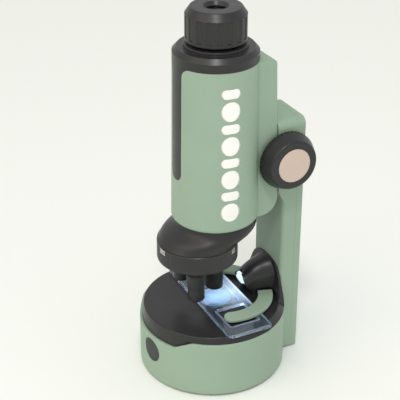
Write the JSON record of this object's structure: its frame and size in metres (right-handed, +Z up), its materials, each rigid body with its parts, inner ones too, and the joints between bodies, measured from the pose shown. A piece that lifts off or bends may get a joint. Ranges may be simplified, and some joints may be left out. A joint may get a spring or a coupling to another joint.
{
  "type": "kids microscope",
  "caption": "Upright toy microscope: drum base with lit stage, arm with rack focusing, straight barrel, turning nosepiece with objectives, clips and a clear slide.",
  "frame": {"origin": "on the ground under the middle of the outline; the optical axis stands 3.8 mm in front of it", "axes": "+Z up; -Y towards the user, +Y towards the arm, +X the side of the right-hand focus knob"},
  "size_m": [0.0804, 0.0906, 0.2066],
  "materials": {
    "green_shell": "satin moulded",
    "black_plastic": "satin moulded",
    "button_grey": "soft-touch moulded",
    "beige_cap": "satin moulded",
    "foot_rubber": "matt",
    "inner_plastic": "moulded",
    "gear_brass": "machined",
    "contact_brass": "stamped",
    "screw_steel": "plated",
    "battery_sleeve": "printed sleeve, blank",
    "board_green": "solder mask",
    "led_clear": "clear epoxy",
    "lens_glass": "polished",
    "window_white": "translucent white",
    "slide_clear": "clear acrylic",
    "cable_red": "insulated wire"
  },
  "bodies": {
    "stand": {"arm_back_cover": "green_shell", "arm_screws": "screw_steel", "arm_shell": "green_shell", "base_plate": "black_plastic", "base_shell": "green_shell", "batteries": "battery_sleeve", "battery_contacts": "contact_brass", "battery_door": "black_plastic", "battery_door_screw": "screw_steel", "battery_springs": "screw_steel", "battery_tray": "black_plastic", "circuit_board": "board_green", "clip_posts": "black_plastic", "floor_screws": "screw_steel", "guide_rails": "inner_plastic", "lamp_board": "board_green", "lamp_cable": "cable_red", "lamp_housing": "black_plastic", "lamp_led": "led_clear", "lamp_lens": "lens_glass", "rubber_feet": "foot_rubber", "screw_posts": "inner_plastic", "shaft_bushes": "inner_plastic", "stage_deck": "black_plastic", "stage_led": "led_clear", "stage_led_board": "board_green", "stage_window": "window_white", "tact_switch": "black_plastic"},
    "carriage": {"barrel_shell": "green_shell", "carriage_plate": "green_shell", "plate_screws": "screw_steel", "focus_rack": "gear_brass", "top_collar": "black_plastic", "optical_tube": "black_plastic", "light_baffle": "black_plastic", "field_lens": "lens_glass", "eyepiece_tube": "black_plastic", "nosepiece_housing": "black_plastic", "turret_pivot": "screw_steel", "detent_ball": "screw_steel", "detent_spring": "screw_steel"},
    "turret": {"turret_ring": "black_plastic", "objective_high": "black_plastic", "objective_middle": "black_plastic", "objective_low": "black_plastic", "objective_lenses": "lens_glass"},
    "eyepiece": {"eyepiece_ring": "black_plastic", "eye_lens": "lens_glass", "lens_retainer": "black_plastic"},
    "focus_drive": {"focus_shaft": "screw_steel", "pinion": "gear_brass", "knob_left": "black_plastic", "knob_right": "black_plastic", "knob_caps": "beige_cap", "thrust_washers": "inner_plastic"},
    "power_button": {"power_button": "button_grey"},
    "clip_left": {"stage_clip_left": "green_shell"},
    "clip_right": {"stage_clip_right": "green_shell"},
    "slide": {"specimen_slide": "slide_clear", "cover_glass": "lens_glass"}
  },
  "joints": [
    {"name": "focus_travel", "type": "slide", "parent": "stand", "child": "carriage", "axis": [0, 0, 1], "range_m": [-0.004, 0.009]},
    {"name": "focus_knobs", "type": "hinge", "parent": "stand", "child": "focus_drive", "pos_m": [0, 0.0294, 0.1228], "axis": [1, 0, 0], "range_deg": [-130, 58]},
    {"name": "turret_turn", "type": "hinge", "parent": "carriage", "child": "turret", "pos_m": [0, -0.0142, 0.0723], "axis": [0, 0, 1], "continuous": true},
    {"name": "eyepiece_turn", "type": "hinge", "parent": "carriage", "child": "eyepiece", "pos_m": [0, -0.0038, 0.1923], "axis": [0, 0, 1], "range_deg": [-90, 90]},
    {"name": "power_press", "type": "slide", "parent": "stand", "child": "power_button", "axis": [-0.1305, 0.9914, 0], "range_m": [0, 0.0012], "stiffness_N_per_m": 400},
    {"name": "clip_right_swing", "type": "hinge", "parent": "stand", "child": "clip_right", "pos_m": [0.01213, 0.02196, 0.0393], "axis": [0, 0, 1], "range_deg": [-14, 25]},
    {"name": "clip_left_swing", "type": "hinge", "parent": "stand", "child": "clip_left", "pos_m": [-0.01213, 0.02196, 0.0393], "axis": [0, 0, 1], "range_deg": [-25, 14]},
    {"name": "slide_push", "type": "slide", "parent": "stand", "child": "slide", "axis": [1, 0, 0], "range_m": [-0.02, 0.02]}
  ],
  "couplings": [
    {"joint": "focus_knobs", "follows": "focus_travel", "rad_per_m": -250}
  ]
}
